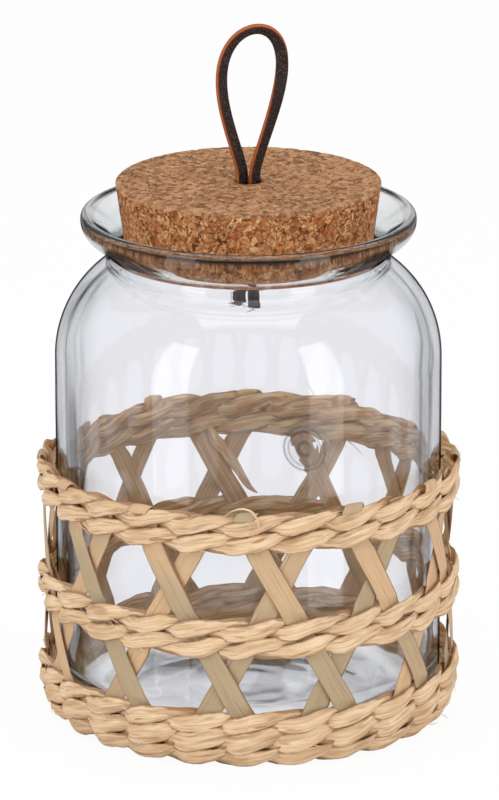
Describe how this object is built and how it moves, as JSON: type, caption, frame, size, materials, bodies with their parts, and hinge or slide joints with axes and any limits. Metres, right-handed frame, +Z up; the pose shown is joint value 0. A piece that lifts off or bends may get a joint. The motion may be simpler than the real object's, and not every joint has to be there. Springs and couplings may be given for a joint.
{
  "type": "glass storage jar with a cork lid",
  "caption": "Round glass jar with a flared rim, tapered cork stopper with a leather lifting loop, and a woven leaf sleeve round its lower half.",
  "frame": {"origin": "centre of the jar's round foot, on the surface that it stands on", "axes": "+Z up along the jar's axis; -Y is the front, the side that the picture was taken from; +X is the picture's right"},
  "size_m": [0.1654, 0.1654, 0.2771],
  "materials": {
    "clear_glass": "clear pressed soda glass, smooth and glossy, faintly grey-green at the edges",
    "cork": "pressed cork granules, matt, tan with dark specks, redder round the side",
    "thong_leather": "grained very dark brown faces with raw orange-brown cut edges",
    "stake_leaf": "dry flat leaf, beige to olive, satin with fine lengthwise ribs",
    "weaver_leaf": "dry twisted leaf, straw coloured with brown creases and lengthwise fibres"
  },
  "bodies": {
    "jar": {"glass_jar": "clear_glass", "outer_stake_1": "stake_leaf", "outer_stake_2": "stake_leaf", "outer_stake_3": "stake_leaf", "outer_stake_4": "stake_leaf", "outer_stake_5": "stake_leaf", "outer_stake_6": "stake_leaf", "outer_stake_7": "stake_leaf", "outer_stake_8": "stake_leaf", "outer_stake_9": "stake_leaf", "outer_stake_10": "stake_leaf", "outer_stake_11": "stake_leaf", "outer_stake_12": "stake_leaf", "inner_stake_1": "stake_leaf", "inner_stake_2": "stake_leaf", "inner_stake_3": "stake_leaf", "inner_stake_4": "stake_leaf", "inner_stake_5": "stake_leaf", "inner_stake_6": "stake_leaf", "inner_stake_7": "stake_leaf", "inner_stake_8": "stake_leaf", "inner_stake_9": "stake_leaf", "inner_stake_10": "stake_leaf", "inner_stake_11": "stake_leaf", "inner_stake_12": "stake_leaf", "weaver_top_upper_a": "weaver_leaf", "weaver_top_upper_b": "weaver_leaf", "weaver_top_lower_a": "weaver_leaf", "weaver_top_lower_b": "weaver_leaf", "weaver_middle_upper_a": "weaver_leaf", "weaver_middle_upper_b": "weaver_leaf", "weaver_middle_lower_a": "weaver_leaf", "weaver_middle_lower_b": "weaver_leaf", "weaver_base_upper_a": "weaver_leaf", "weaver_base_upper_b": "weaver_leaf", "weaver_base_second_a": "weaver_leaf", "weaver_base_second_b": "weaver_leaf", "weaver_base_curled_a": "weaver_leaf", "weaver_base_curled_b": "weaver_leaf"},
    "stopper": {"cork_stopper": "cork"},
    "thong": {"thong_knot": "thong_leather"},
    "loop": {"thong_loop": "thong_leather"}
  },
  "joints": [
    {"name": "stopper_lift", "type": "slide", "parent": "jar", "child": "stopper", "axis": [0, 0, 1], "range_m": [0, 0.07]},
    {"name": "thong_swivel", "type": "hinge", "parent": "stopper", "child": "thong", "pos_m": [0, 0, 0.2], "axis": [0, 0, 1], "continuous": true},
    {"name": "loop_tilt", "type": "hinge", "parent": "thong", "child": "loop", "pos_m": [0, 0, 0.21536], "axis": [1, 0, 0], "range_deg": [-75, 75], "stiffness_Nm_per_rad": 0.002}
  ]
}
